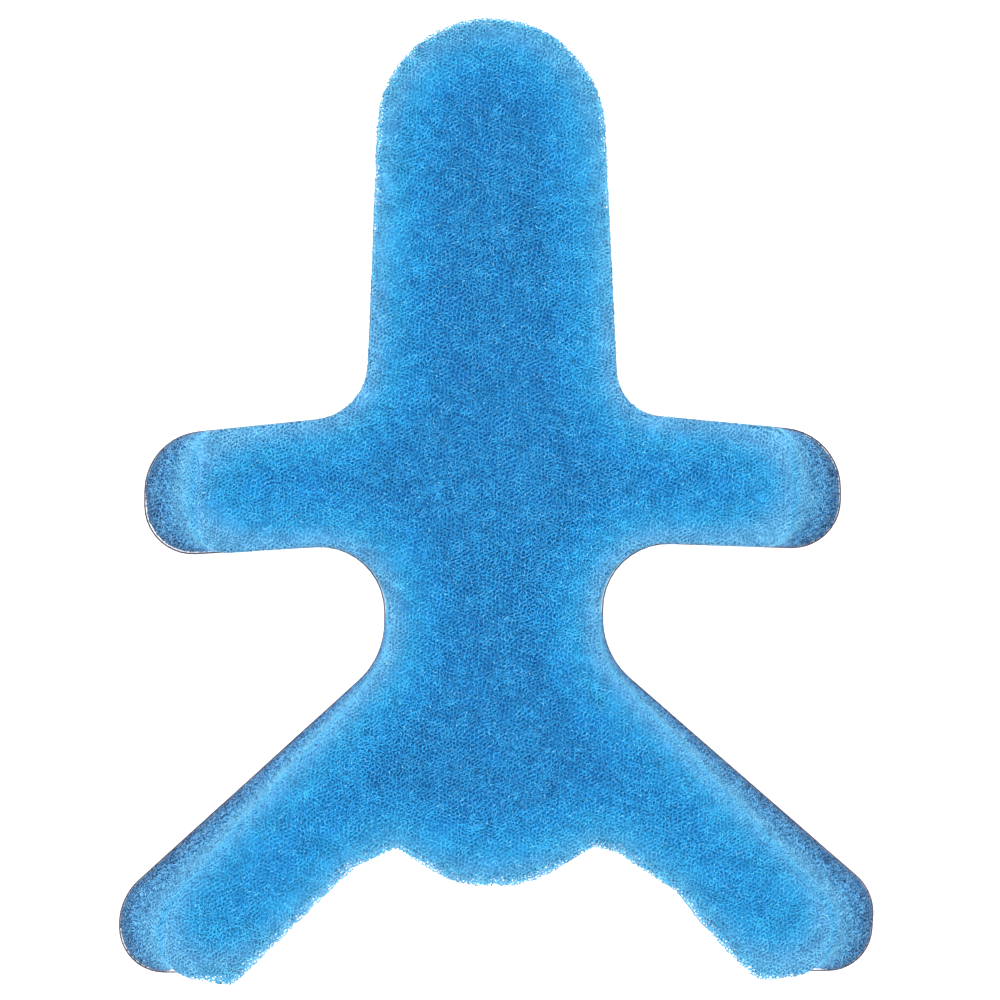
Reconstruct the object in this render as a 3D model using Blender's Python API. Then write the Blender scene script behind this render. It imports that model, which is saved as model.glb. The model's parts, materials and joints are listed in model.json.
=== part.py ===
"""Sponge filter pad: a die-cut block of open-cell foam with a rounded head, two
short arms, a narrow waist, two long slanted legs and a low rounded belly between
them.  It lies flat on a thin clear backing sheet cut to the same outline.

Frame: metres.  X to the right, Y towards the head, +Z up through the thickness.
The origin is on the underside of the backing sheet, near the middle of the outline.

The foam bends at its neck, waist, arms and legs, so it is modelled as seven
segments that meet at six hinges.  Each hinge axis lies in the foam's mid-plane.
The moving segment ends in a bullnose about that axis, and the segment that holds
it ends in a flat face just clear of the bullnose, so the moving segment can swing
up through 90 degrees.
"""

import math

import bmesh
import bpy
from mathutils import Matrix, Vector

MM = 0.001

# --------------------------------------------------------------------------
# Driving dimensions, in millimetres
# --------------------------------------------------------------------------
SHEET_T = 0.5            # thickness of the clear backing sheet
SHEET_GAP = 0.3          # clear gap between the sheet and the foam
FOAM_T = 20.0            # thickness of the foam
FOAM_INSET = 0.35        # how far the foam's lower edge stands inside the sheet
FOAM_Z0 = SHEET_T + SHEET_GAP
FOAM_Z1 = FOAM_Z0 + FOAM_T
FOAM_MID = FOAM_Z0 + FOAM_T / 2

HEAD_TOP = 91.8
HEAD_TOP_LEFT = -22.0    # head's sides where they would meet the top line
HEAD_TOP_RIGHT = 19.6
HEAD_R = 21.6            # radius of the head's two upper corners
SHOULDER_LEFT = (-25.1, 16.6, 11.0)    # x, y, radius
SHOULDER_RIGHT = (23.3, 17.0, 8.8)

ARM_TIP_LEFT = -67.5     # outermost reach of the arms
ARM_TIP_RIGHT = 65.8
ARM_TOP_LEFT = 12.3      # upper and lower edges of the arms, at the tip
ARM_TOP_RIGHT = 13.0
ARM_BOTTOM_LEFT = -10.8
ARM_BOTTOM_RIGHT = -9.4
ARM_UPPER_R = 11.6       # the arm's end turns wider above than below
ARM_LOWER_R = 9.4
ARM_SLANT_LEFT = 10.4    # how much shorter the arm is at the foam's top face
ARM_SLANT_RIGHT = 10.0
ARM_UPPER_CHANGE = (0.9, -7.0)   # change in y and radius up to the top face
ARM_LOWER_CHANGE = (0.3, -3.4)

WAIST_LEFT = -21.6       # sides of the waist
WAIST_RIGHT = 20.3
ARMPIT_Y_LEFT = -8.1     # where the arm's lower edge would meet the waist
ARMPIT_Y_RIGHT = -7.8
ARMPIT_R = 14.3
HIP_Y_LEFT = -29.8       # where the waist would meet the leg's outer edge
HIP_Y_RIGHT = -29.3
HIP_R = 15.0

LEG_SLOPE_LEFT = 0.907   # fall of the leg's outer edge per unit sideways
LEG_SLOPE_RIGHT = 0.871
LEG_OUT_LEFT = -72.4     # outermost reach of the legs
LEG_OUT_RIGHT = 72.3
# The knee is where the leg's sloping outer edge turns down to the foot.
KNEE_Y_LEFT = HIP_Y_LEFT + LEG_SLOPE_LEFT * (LEG_OUT_LEFT - WAIST_LEFT)
KNEE_Y_RIGHT = HIP_Y_RIGHT - LEG_SLOPE_RIGHT * (LEG_OUT_RIGHT - WAIST_RIGHT)
LEG_SLANT = 7.6          # sets how far the leg's outer wall leans at the top face
KNEE_LEAN_IN = 1.20 * LEG_SLANT
KNEE_LEAN_DOWN = 0.45 * LEG_SLANT
FOOT_LEAN_IN = 1.10 * LEG_SLANT
FOOT_BOTTOM_LEFT = -90.2
FOOT_BOTTOM_RIGHT = -89.8
FOOT_TAPER_LEFT = 0.2    # how far the foot's outer corner is inside the leg's reach
FOOT_TAPER_RIGHT = 1.0
FOOT_DROP_RIGHT = 0.2    # right foot's inner corner below its outer corner
FOOT_BULGE = 1.5         # the foam's top face stands past its lower face at the feet

BELLY_BOTTOM = -73.0
BELLY_HALF = 6.6         # half the flat of the belly, about its middle
BELLY_MIDDLE = -0.9
BELLY_R = 20.0

CORNER_STEPS = 10        # straight pieces in each rounded corner
MAX_CORNER_SHARE = 0.60  # most of its shorter side that a corner may use

NOSE_EXTRA = 0.2         # bullnose radius over half the foam's thickness
NOSE_R = FOAM_T / 2 + NOSE_EXTRA
NOSE_GAP = 0.35          # clear gap between the bullnose and the flat face
NOSE_STEPS = 14
NOSE_REACH = 140.0       # how far the cutters run outward from the axis
FACE_REACH = 150.0
CUTTER_HALF_HEIGHT = FOAM_T

# Each hinge: middle of its axis (x, y), direction of the limb, width of its cutters.
HINGES = {
    'neck': ((-0.6, 36.4), (0.0, 1.0), 90.0),
    'waist': ((-0.4, -26.0), (0.0, -1.0), 200.0),
    'arm_left': ((-42.0, 2.4), (-1.0, 0.0), 60.0),
    'arm_right': ((41.0, 3.0), (1.0, 0.0), 60.0),
    'leg_left': ((-35.6, -63.4), (-1.0, -LEG_SLOPE_LEFT), 76.0),
    'leg_right': ((35.2, -62.4), (1.0, -LEG_SLOPE_RIGHT), 76.0),
}

# Each segment: the hinge it swings on, and the hinges it holds.
SEGMENTS = {
    'foam_chest': (None, ('neck', 'waist', 'arm_left', 'arm_right')),
    'foam_head': ('neck', ()),
    'foam_hips': ('waist', ('leg_left', 'leg_right')),
    'foam_arm_left': ('arm_left', ()),
    'foam_arm_right': ('arm_right', ()),
    'foam_leg_left': ('leg_left', ()),
    'foam_leg_right': ('leg_right', ()),
}

FOAM_BLUE = (0.03, 0.23, 0.56)
TINT_STEP = 0.015        # segments take three brightnesses in turn, this far apart
TINT_COUNT = 3
SHEET_COLOUR = (0.86, 0.88, 0.92)

# Corners of the outline, clockwise from the head's top left.  Each row holds
# (x, y, radius) at the foam's lower face, then the change in each at its top face.
SAME = (0.0, 0.0, 0.0)
OUTLINE = [
    # head and right shoulder
    ((HEAD_TOP_LEFT, HEAD_TOP, HEAD_R), SAME),
    ((HEAD_TOP_RIGHT, HEAD_TOP, HEAD_R), SAME),
    (SHOULDER_RIGHT, SAME),
    # right arm and waist
    ((ARM_TIP_RIGHT, ARM_TOP_RIGHT, ARM_UPPER_R), (-ARM_SLANT_RIGHT, *ARM_UPPER_CHANGE)),
    ((ARM_TIP_RIGHT, ARM_BOTTOM_RIGHT, ARM_LOWER_R), (-ARM_SLANT_RIGHT, *ARM_LOWER_CHANGE)),
    ((WAIST_RIGHT, ARMPIT_Y_RIGHT, ARMPIT_R), SAME),
    ((WAIST_RIGHT, HIP_Y_RIGHT, HIP_R), SAME),
    # right leg: knee, foot, inner side with its kink
    ((LEG_OUT_RIGHT, KNEE_Y_RIGHT, 9.5), (-KNEE_LEAN_IN, -KNEE_LEAN_DOWN, 0.0)),
    ((LEG_OUT_RIGHT - FOOT_TAPER_RIGHT, FOOT_BOTTOM_RIGHT, 8.6),
     (-FOOT_LEAN_IN, -0.6 * FOOT_BULGE, 0.0)),
    ((50.2, FOOT_BOTTOM_RIGHT - FOOT_DROP_RIGHT, 5.0), (-0.4, -FOOT_BULGE, 0.0)),
    ((39.0, -80.8, 8.0), (-0.5, -0.8, 0.0)),
    ((34.0, -74.0, 2.5), SAME),
    ((22.6, -66.4, 4.0), SAME),
    # belly, between the two crotch corners
    ((18.4, -65.6, 2.0), SAME),
    ((BELLY_MIDDLE + BELLY_HALF, BELLY_BOTTOM, BELLY_R), SAME),
    ((BELLY_MIDDLE - BELLY_HALF, BELLY_BOTTOM, BELLY_R), SAME),
    ((-19.2, -66.0, 2.0), SAME),
    # left leg: inner side, foot, knee
    ((-26.8, -69.0, 6.0), SAME),
    ((-49.3, FOOT_BOTTOM_LEFT, 4.5), (-1.0, -FOOT_BULGE, 0.0)),
    ((LEG_OUT_LEFT + FOOT_TAPER_LEFT, FOOT_BOTTOM_LEFT, 10.2),
     (FOOT_LEAN_IN, -0.4 * FOOT_BULGE, 0.0)),
    ((LEG_OUT_LEFT, KNEE_Y_LEFT, 11.5), (KNEE_LEAN_IN, -KNEE_LEAN_DOWN, 0.0)),
    # waist, left arm and left shoulder
    ((WAIST_LEFT, HIP_Y_LEFT, HIP_R), SAME),
    ((WAIST_LEFT, ARMPIT_Y_LEFT, ARMPIT_R), SAME),
    ((ARM_TIP_LEFT, ARM_BOTTOM_LEFT, ARM_LOWER_R), (ARM_SLANT_LEFT, *ARM_LOWER_CHANGE)),
    ((ARM_TIP_LEFT, ARM_TOP_LEFT, ARM_UPPER_R), (ARM_SLANT_LEFT, *ARM_UPPER_CHANGE)),
    (SHOULDER_LEFT, SAME),
]


# --------------------------------------------------------------------------
# Outlines
# --------------------------------------------------------------------------
def rounded_polygon(corners):
    """Points round a polygon of (x, y, radius) corners, each replaced by an arc.

    Every corner gives CORNER_STEPS + 1 points, so two outlines with the same
    corners in the same order match point for point.
    """
    points = []
    for i, (x, y, radius) in enumerate(corners):
        corner = Vector((x, y))
        to_previous = Vector(corners[i - 1][:2]) - corner
        to_next = Vector(corners[(i + 1) % len(corners)][:2]) - corner
        room = MAX_CORNER_SHARE * min(to_previous.length, to_next.length)
        to_previous.normalize()
        to_next.normalize()
        cosine = max(-1.0, min(1.0, to_previous.dot(to_next)))
        half_angle = 0.5 * math.acos(cosine)
        tangent = min(radius / math.tan(half_angle), room)
        fitted = tangent * math.tan(half_angle)
        bisector = (to_previous + to_next).normalized()
        centre = corner + bisector * (fitted / math.sin(half_angle))
        start = corner + to_previous * tangent - centre
        stop = corner + to_next * tangent - centre
        turn = math.atan2(start.x * stop.y - start.y * stop.x, start.dot(stop))
        for k in range(CORNER_STEPS + 1):
            angle = turn * k / CORNER_STEPS
            cos, sin = math.cos(angle), math.sin(angle)
            points.append(centre + Vector((cos * start.x - sin * start.y,
                                           sin * start.x + cos * start.y)))
    return points


def offset_inwards(points, distance):
    """Each point moved along its inward normal (the outline runs clockwise)."""
    moved = []
    for i, point in enumerate(points):
        along = points[(i + 1) % len(points)] - points[i - 1]
        along.normalize()
        moved.append(point + Vector((along.y, -along.x)) * distance)
    return moved


# --------------------------------------------------------------------------
# Solids
# --------------------------------------------------------------------------
def bridge_rings(name, first_ring, second_ring):
    """Closed solid between two matching rings of points, in metres."""
    bm = bmesh.new()
    first = [bm.verts.new(point) for point in first_ring]
    second = [bm.verts.new(point) for point in second_ring]
    for i in range(len(first)):
        j = (i + 1) % len(first)
        bm.faces.new((first[i], first[j], second[j], second[i]))
    bm.faces.new(first[::-1])
    bm.faces.new(second)
    bmesh.ops.recalc_face_normals(bm, faces=bm.faces)
    mesh = bpy.data.meshes.new(name)
    bm.to_mesh(mesh)
    bm.free()
    obj = bpy.data.objects.new(name, mesh)
    bpy.context.collection.objects.link(obj)
    return obj


def loft(name, lower, upper, z0, z1):
    """Closed solid between two matching outlines at heights z0 and z1."""
    rings = [[(point.x * MM, point.y * MM, z * MM) for point in outline]
             for outline, z in ((lower, z0), (upper, z1))]
    return bridge_rings(name, *rings)


def nose_profile():
    """What the moving segment keeps: a bullnose behind the axis, and all beyond it."""
    high = CUTTER_HALF_HEIGHT
    profile = [(NOSE_REACH, -high), (NOSE_REACH, high), (0.0, high)]
    for k in range(NOSE_STEPS + 1):
        angle = math.pi / 2 + math.pi * k / NOSE_STEPS
        profile.append((NOSE_R * math.cos(angle), NOSE_R * math.sin(angle)))
    profile.append((0.0, -high))
    return profile


def face_profile():
    """What the holding segment loses: all beyond its flat face."""
    high = CUTTER_HALF_HEIGHT
    back = -(NOSE_R + NOSE_GAP)
    return [(back, -high), (FACE_REACH, -high), (FACE_REACH, high), (back, high)]


def hinge_cutters(kind, profile):
    """For every hinge, a hidden solid: the profile swept along the hinge axis.

    profile holds (outward, up) pairs measured from the axis.
    """
    cutters = {}
    for hinge, (middle, direction, width) in HINGES.items():
        outward = Vector((*direction, 0.0)).normalized()
        axis = Vector((-outward.y, outward.x, 0.0))
        base = Vector((*middle, FOAM_MID))
        rings = [[(base + outward * out + Vector((0, 0, up)) + axis * side) * MM
                  for out, up in profile]
                 for side in (-width / 2, width / 2)]
        cutter = bridge_rings(f'{hinge}_{kind}_cutter', *rings)
        cutter.hide_render = True
        cutter.display_type = 'WIRE'
        cutters[hinge] = cutter
    return cutters


def add_boolean(obj, cutter, operation):
    modifier = obj.modifiers.new(f'{operation.lower()}_{cutter.name}', 'BOOLEAN')
    modifier.operation = operation
    modifier.solver = 'EXACT'
    modifier.object = cutter


def add_material(obj, colour, roughness, transmission=0.0):
    mat = bpy.data.materials.new(obj.name + '_material')
    mat.use_nodes = True
    inputs = mat.node_tree.nodes['Principled BSDF'].inputs
    inputs['Base Color'].default_value = (*colour, 1.0)
    inputs['Roughness'].default_value = roughness
    inputs['Transmission Weight'].default_value = transmission
    obj.data.materials.append(mat)


def build_foam(lower, upper):
    """The seven segments, each the whole foam block cut down at its hinges."""
    noses = hinge_cutters('nose', nose_profile())
    faces = hinge_cutters('face', face_profile())
    for index, (name, (own_hinge, held_hinges)) in enumerate(SEGMENTS.items()):
        segment = loft(name, lower, upper, FOAM_Z0, FOAM_Z1)
        tint = 1.0 + TINT_STEP * (index % TINT_COUNT)
        add_material(segment, colour=tuple(c * tint for c in FOAM_BLUE), roughness=0.9)
        if own_hinge:
            add_boolean(segment, noses[own_hinge], 'INTERSECT')
            # the segment's origin is on its hinge axis
            origin = Vector((*HINGES[own_hinge][0], FOAM_MID)) * MM
            segment.data.transform(Matrix.Translation(-origin))
            segment.location = origin
        for hinge in held_hinges:
            add_boolean(segment, faces[hinge], 'DIFFERENCE')


def build_sheet(outline):
    sheet = loft('clear_backing_sheet', outline, outline, 0.0, SHEET_T)
    add_material(sheet, colour=SHEET_COLOUR, roughness=0.08, transmission=0.9)


for old in list(bpy.data.objects):
    bpy.data.objects.remove(old, do_unlink=True)

lower_outline = rounded_polygon([corner for corner, _ in OUTLINE])
upper_outline = rounded_polygon(
    [tuple(a + b for a, b in zip(corner, change)) for corner, change in OUTLINE])
build_foam(offset_inwards(lower_outline, FOAM_INSET),
           offset_inwards(upper_outline, FOAM_INSET))
build_sheet(lower_outline)
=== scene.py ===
"""Looks of a figure-shaped sponge filter pad: open-cell foam built as a real network of struts
over a darker body, its darkness painted shade, lying on a thin clear sheet whose dark rim bead is
painted shade.

The pad lies flat with its top face up (+Z), its head towards +Y and its left arm and leg
towards -X. Lengths are in millimetres, and are turned into metres where meshes are made.
"""

import json
import math

import bmesh
import bpy
import numpy as np
from mathutils import Matrix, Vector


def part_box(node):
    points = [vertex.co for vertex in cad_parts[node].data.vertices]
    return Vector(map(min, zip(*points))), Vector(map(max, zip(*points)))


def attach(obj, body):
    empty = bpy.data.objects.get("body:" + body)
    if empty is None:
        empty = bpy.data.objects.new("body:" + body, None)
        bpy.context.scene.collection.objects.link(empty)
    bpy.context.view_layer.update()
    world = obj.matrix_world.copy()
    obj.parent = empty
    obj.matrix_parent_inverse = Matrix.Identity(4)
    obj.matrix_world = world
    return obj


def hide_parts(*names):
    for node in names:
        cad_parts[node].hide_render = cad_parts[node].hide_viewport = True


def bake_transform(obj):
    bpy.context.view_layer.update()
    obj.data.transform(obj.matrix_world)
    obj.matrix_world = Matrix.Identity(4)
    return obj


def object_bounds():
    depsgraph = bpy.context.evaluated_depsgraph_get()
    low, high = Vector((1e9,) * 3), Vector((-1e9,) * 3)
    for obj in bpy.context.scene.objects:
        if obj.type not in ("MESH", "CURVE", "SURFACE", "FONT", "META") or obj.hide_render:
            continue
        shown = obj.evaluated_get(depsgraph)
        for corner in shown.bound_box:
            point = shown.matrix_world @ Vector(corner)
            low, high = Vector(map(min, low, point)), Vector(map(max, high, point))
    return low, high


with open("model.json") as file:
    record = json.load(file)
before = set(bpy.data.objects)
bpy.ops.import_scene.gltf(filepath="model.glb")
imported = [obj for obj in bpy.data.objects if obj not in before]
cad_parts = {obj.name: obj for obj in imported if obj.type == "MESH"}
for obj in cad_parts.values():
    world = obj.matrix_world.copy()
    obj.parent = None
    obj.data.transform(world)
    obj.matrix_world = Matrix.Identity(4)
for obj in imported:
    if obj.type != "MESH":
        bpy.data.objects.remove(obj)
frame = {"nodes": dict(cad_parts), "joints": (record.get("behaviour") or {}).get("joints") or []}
cad_lo, cad_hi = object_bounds()

MM = 0.001
foam_lo, foam_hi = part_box("foam_chest")
Z0 = (np.array(foam_lo) / MM)[2]          # foam's underside
Z1 = (np.array(foam_hi) / MM)[2]          # foam's top
THICK = Z1 - Z0
SHEET_TOP = (np.array(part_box("clear_backing_sheet")[1]) / MM)[2]

# ---- Outlines: the driving dimensions of the plan; pairs are left, right ----
HEAD_TOP = 91.8
HEAD_SIDES = (-22.0, 19.6)
HEAD_R = 21.6
SHOULDER_L, SHOULDER_R = (-25.1, 16.6), (23.3, 17.0)
ARM_TIPS = (-67.5, 65.8)
ARM_TOPS = (12.3, 13.0)
ARM_BOTTOMS = (-10.8, -9.4)
ARM_SLANTS = (10.4, 10.0)       # how far the tips draw in from underside to top
ARM_UPPER_R = (11.6, 7.0)       # corner radius underneath, and what it loses on top
ARM_LOWER_R = (9.4, 3.4)
WAIST = (-21.6, 20.3)
ARMPIT_Y = (-8.1, -7.8)
ARMPIT_R = 14.3
HIP_Y = (-29.8, -29.3)
HIP_R = 15.0
LEG_SLOPE = (0.907, 0.871)
LEG_OUT = (-72.4, 72.3)
LEG_SLANT = 7.6
FOOT_Y = (-90.2, -89.8)
FOOT_BULGE = 1.5
BELLY_X, BELLY_HALF, BELLY_Y, BELLY_R = -0.9, 6.6, -73.0, 20.0

ARC_STEPS, EDGE_STEPS = 10, 6   # divisions of a rounded corner and of a straight edge
UNDERCUT = 3.6                  # how far the wall is drawn in below the thin overhanging lips
LIP = (1.1, 1.6)                # thickness of a lip at its tip, and how fast it thickens
LIP_OUT = 0.52                  # how far a lip stands past the sheet
TOP_INSET = 0.1                 # how far the top stands in where there is no lip


def outline_corners(level):
    """Corners clockwise from the head's top left; level 0 is underneath, 1 on top.

    Columns: x, y, radius, undercut weight, margin to the sheet's edge.
    """
    arm_l = ARM_TIPS[0] + ARM_SLANTS[0] * level
    arm_r = ARM_TIPS[1] - ARM_SLANTS[1] * level
    upper = ARM_UPPER_R[0] - ARM_UPPER_R[1] * level
    lower = ARM_LOWER_R[0] - ARM_LOWER_R[1] * level
    lean, bulge = LEG_SLANT * level, FOOT_BULGE * level
    knee_l = HIP_Y[0] + LEG_SLOPE[0] * (LEG_OUT[0] - WAIST[0])
    knee_r = HIP_Y[1] - LEG_SLOPE[1] * (LEG_OUT[1] - WAIST[1])
    return [
        # head and right arm
        (HEAD_SIDES[0], HEAD_TOP, HEAD_R, 0.60, 0.1),
        (HEAD_SIDES[1], HEAD_TOP, HEAD_R, 0.50, 0.1),
        (*SHOULDER_R, 8.8, 0.12, 0.1),
        (arm_r, ARM_TOPS[1] + 0.9 * level, upper, 0.0, 0.22),
        (arm_r, ARM_BOTTOMS[1] + 0.3 * level, lower, 0.0, 0.16),
        (WAIST[1] - 0.5 * level, ARMPIT_Y[1] + 0.2 * level, ARMPIT_R, 0.12, 0.05),
        (WAIST[1] - 1.3 * level, HIP_Y[1] - 0.2 * level, HIP_R, 0.0, 0.08),
        # right leg
        (LEG_OUT[1] - 1.20 * lean, knee_r - 0.45 * lean, 9.5, 0.0, 0.12),
        (LEG_OUT[1] - 1.0 - 1.10 * lean, FOOT_Y[1] - 0.6 * bulge, 8.6, 0.0, 0.15),
        (50.2 - 1.2 * level, FOOT_Y[1] - 0.2 - 0.6 * bulge, 5.0, 0.7, 0.0),
        (39.0 + 0.4 * level, -80.8 + 0.2 * level, 8.0, 1.0, 0.1),
        (34.0, -74.0, 2.5, 0.7, 0.1),
        # belly, between the legs
        (22.6, -66.4, 4.0, 0.9, 0.1),
        (18.4, -65.6, 2.0, 0.6, 0.1),
        (BELLY_X + BELLY_HALF, BELLY_Y, BELLY_R, 0.8, 0.1),
        (BELLY_X - BELLY_HALF, BELLY_Y, BELLY_R, 0.8, 0.1),
        (-19.2, -66.0, 2.0, 0.6, 0.1),
        (-26.8, -69.0, 6.0, 1.0, 0.1),
        # left leg
        (-49.3 - 1.0 * level, FOOT_Y[0] - bulge, 4.5, 1.0, 0.0),
        (LEG_OUT[0] + 0.2 + 1.10 * lean, FOOT_Y[0] - 0.4 * bulge, 10.2, 0.0, 0.26),
        (LEG_OUT[0] + 1.20 * lean, knee_l - 0.45 * lean, 11.5, 0.0, 0.12),
        # left arm
        (WAIST[0] + 1.3 * level, HIP_Y[0] - 0.2 * level, HIP_R, 0.0, 0.08),
        (WAIST[0] + 0.5 * level, ARMPIT_Y[0] + 0.2 * level, ARMPIT_R, 0.12, 0.05),
        (arm_l, ARM_BOTTOMS[0] + 0.3 * level, lower, 0.0, 0.34),
        (arm_l, ARM_TOPS[0] + 0.9 * level, upper, 0.0, 0.12),
        (*SHOULDER_L, 11.0, 0.12, 0.1),
    ]


def corner_arc(before, corner, after, radius):
    """Points round one corner, its radius limited by the edges that meet there."""
    to_before, to_after = before - corner, after - corner
    len_before, len_after = np.hypot(*to_before), np.hypot(*to_after)
    to_before, to_after = to_before / len_before, to_after / len_after
    half = 0.5 * math.acos(float(np.clip(to_before @ to_after, -1, 1)))
    tangent = min(radius / math.tan(half), 0.60 * min(len_before, len_after))
    radius = tangent * math.tan(half)
    middle = (to_before + to_after) / np.hypot(*(to_before + to_after))
    centre = corner + middle * (radius / math.sin(half))
    start = corner + to_before * tangent - centre
    stop = corner + to_after * tangent - centre
    turn = math.atan2(start[0] * stop[1] - start[1] * stop[0], start @ stop)
    t = turn * np.arange(ARC_STEPS + 1) / ARC_STEPS
    return centre + np.stack([np.cos(t) * start[0] - np.sin(t) * start[1],
                              np.sin(t) * start[0] + np.cos(t) * start[1]], 1)


def rounded_polygon(corners):
    """Points round the polygon, and at each the weights carried by the corners."""
    n = len(corners)
    places = [np.array(c[:2]) for c in corners]
    carried = [np.array(c[3:], float) for c in corners]
    arcs = [corner_arc(places[i - 1], places[i], places[(i + 1) % n], corners[i][2])
            for i in range(n)]
    points, weights = [], []
    t = (np.arange(1, EDGE_STEPS) / EDGE_STEPS)[:, None]
    for i in range(n):
        following = (i + 1) % n
        points += [arcs[i], arcs[i][-1] * (1 - t) + arcs[following][0] * t]
        weights += [np.tile(carried[i], (ARC_STEPS + 1, 1)),
                    carried[i] * (1 - t) + carried[following] * t]
    return np.concatenate(points), np.concatenate(weights)


def inward(line):
    """Unit directions into the pad, at each point of a clockwise outline."""
    d = np.roll(line, -1, 0) - np.roll(line, 1, 0)
    d /= np.hypot(d[:, 0], d[:, 1])[:, None]
    return np.stack([d[:, 1], -d[:, 0]], 1)


sheet_line, sheet_weights = rounded_polygon(outline_corners(0))
low_lip = sheet_weights[:, :1]
low_line = sheet_line + inward(sheet_line) * (UNDERCUT * low_lip + sheet_weights[:, 1:2])
top_line, top_weights = rounded_polygon(outline_corners(1))
top_lip = top_weights[:, :1]
top_line = top_line + inward(top_line) * (TOP_INSET - (TOP_INSET + LIP_OUT) * top_lip)

# ---- Fields over the plan; distances are positive inside the foam ----
STEP = 0.5              # grid spacing
PAD = 6.0               # grid margin round the sheet
CHUNK = 6000            # grid points measured at once
grid_x, grid_y = (np.arange(sheet_line[:, k].min() - PAD,
                            sheet_line[:, k].max() + PAD + STEP, STEP) for k in (0, 1))


def plan_field(line):
    """Signed distance to the outline, and the index of the nearest outline edge."""
    xs, ys = np.meshgrid(grid_x, grid_y)
    grid = np.stack([xs.ravel(), ys.ravel()], 1)
    a, b = line, np.roll(line, -1, 0)
    ab = b - a
    squared = (ab ** 2).sum(1) + 1e-12
    dist = np.empty(len(grid))
    near = np.empty(len(grid), int)
    inside = np.zeros(len(grid), bool)
    for s in range(0, len(grid), CHUNK):
        part = slice(s, s + CHUNK)
        c = grid[part]
        dx = c[:, None, 0] - a[None, :, 0]
        dy = c[:, None, 1] - a[None, :, 1]
        t = np.clip((dx * ab[:, 0] + dy * ab[:, 1]) / squared, 0, 1)
        d2 = (dx - t * ab[:, 0]) ** 2 + (dy - t * ab[:, 1]) ** 2
        near[part] = d2.argmin(1)
        dist[part] = np.sqrt(d2.min(1))
        # a point is inside if a ray towards +X crosses the outline an odd number of times
        spans = (a[None, :, 1] > c[:, None, 1]) != (b[None, :, 1] > c[:, None, 1])
        with np.errstate(divide="ignore", invalid="ignore"):
            crossing = a[None, :, 0] + (c[:, None, 1] - a[None, :, 1]) * ab[:, 0] / ab[:, 1]
        inside[part] = (spans & (c[:, None, 0] < crossing)).sum(1) % 2 == 1
    return np.where(inside, dist, -dist).reshape(xs.shape), near.reshape(xs.shape)


def blurred(field, reach):
    """Box blur, twice."""
    for _ in range(2):
        for axis in (0, 1):
            total = np.zeros_like(field)
            for k in range(-reach, reach + 1):
                total += np.roll(field, k, axis)
            field = total / (2 * reach + 1)
    return field


def sample(field, x, y):
    """The field's value at each place, between grid points."""
    u = np.clip((x - grid_x[0]) / STEP, 0, len(grid_x) - 1.001)
    v = np.clip((y - grid_y[0]) / STEP, 0, len(grid_y) - 1.001)
    i, j = u.astype(int), v.astype(int)
    fu, fv = u - i, v - j
    return ((field[j, i] * (1 - fu) + field[j, i + 1] * fu) * (1 - fv)
            + (field[j + 1, i] * (1 - fu) + field[j + 1, i + 1] * fu) * fv)


low_dist, _ = plan_field(low_line)
top_dist, top_near = plan_field(top_line)
under_field = blurred(top_weights[top_near, 0], 4)


def surrounding_foam():
    """How much foam surrounds a place: about 0.5 at an edge, 1 deep in the middle."""
    reach, near_edge = 16, 16.0           # blur in grid steps, width of the edge zone
    on_top = top_dist > 0
    around = (0.55 * blurred(on_top.astype(float), reach)
              + 0.45 * blurred((on_top | (low_dist > 0)).astype(float), reach))
    within = np.maximum(top_dist, 0.45 * low_dist + 0.55 * top_dist)
    return np.minimum(around, 1 - 0.5 * np.clip(1 - within / near_edge, 0, 1.1) ** 2)


around = surrounding_foam()
# where the foam is an overhanging lip, and where its wall slants outwards to its foot
lipped = blurred(((under_field > 0.25) & (top_dist < 3.4)).astype(float), 1)
slanted = blurred(((low_dist - top_dist > 1.2) & (top_dist < 2.5)).astype(float), 1)


def side_depth(x, y, z):
    """Distance in from the side wall, which is straight or drawn in below a lip."""
    t = np.clip((z - Z0) / THICK, 0, 1)
    lip = np.exp(-np.clip(Z1 - z - LIP[0], 0, THICK) / LIP[1])
    u = np.clip(sample(under_field, x, y) * 6, 0, 1)
    t = t * (1 - u) + lip * u
    return sample(low_dist, x, y) * (1 - t) + sample(top_dist, x, y) * t


def crown(x, y):
    """How far the top face stands below its nominal height: nearly flat, dipping at the rim."""
    dip, dip_width, wave = 0.55, 2.2, 0.12
    s = np.clip(sample(top_dist, x, y), 0, 12)
    return dip * np.exp(-s / dip_width) + wave * np.sin(x * 0.11 + 1.0) * np.sin(y * 0.09)


def depth(p):
    """Depth below the foam's surface, its rim a little rounded; then from side, top, bottom."""
    x, y, z = p.T
    side = side_depth(x, y, z)
    top = (Z1 - crown(x, y)) - z
    bottom = z - Z0
    rounding = 1.0
    h = np.clip(0.5 + 0.5 * (top - side) / rounding, 0, 1)
    d = top * (1 - h) + side * h - rounding * h * (1 - h)
    return np.minimum(d, bottom), side, top, bottom


# ---- The strut network: cells of fourteen faces, wandering off any grid ----
# edge of the cube that holds two cells: finest along the lips and on the slanted walls
CELL = {"top": 0.90, "lip": 0.85, "slope": 0.90, "side": 1.24, "under": 1.36}
ZONES = tuple(CELL)
STRUT_R = 0.114
SHELL_TOP, SHELL_SIDE, SHELL_UNDER = 0.86, 0.66, 0.36     # thickness of the strut layer
SHELL_UNDERCUT = 1.9    # no solid body behind the thin lips
LIP_DEEP = 3.2          # how far down the fine cells of a lip go
JITTER = 0.36           # how far each junction strays, as a share of a cell
SLACK = 1.5             # how far past its layer a cell's cube may lie
OUTSIDE = -1.4          # depth of the outermost cubes
HALF_X, HALF_Y = 76, 96           # half the plan that is searched for cells
LATTICE_REACH = 122.0   # how far the turned lattice goes from the middle
TORN = 0.24             # share of cut struts missing along a full lip
SHORTEST = 0.09         # shorter struts are left out
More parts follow.
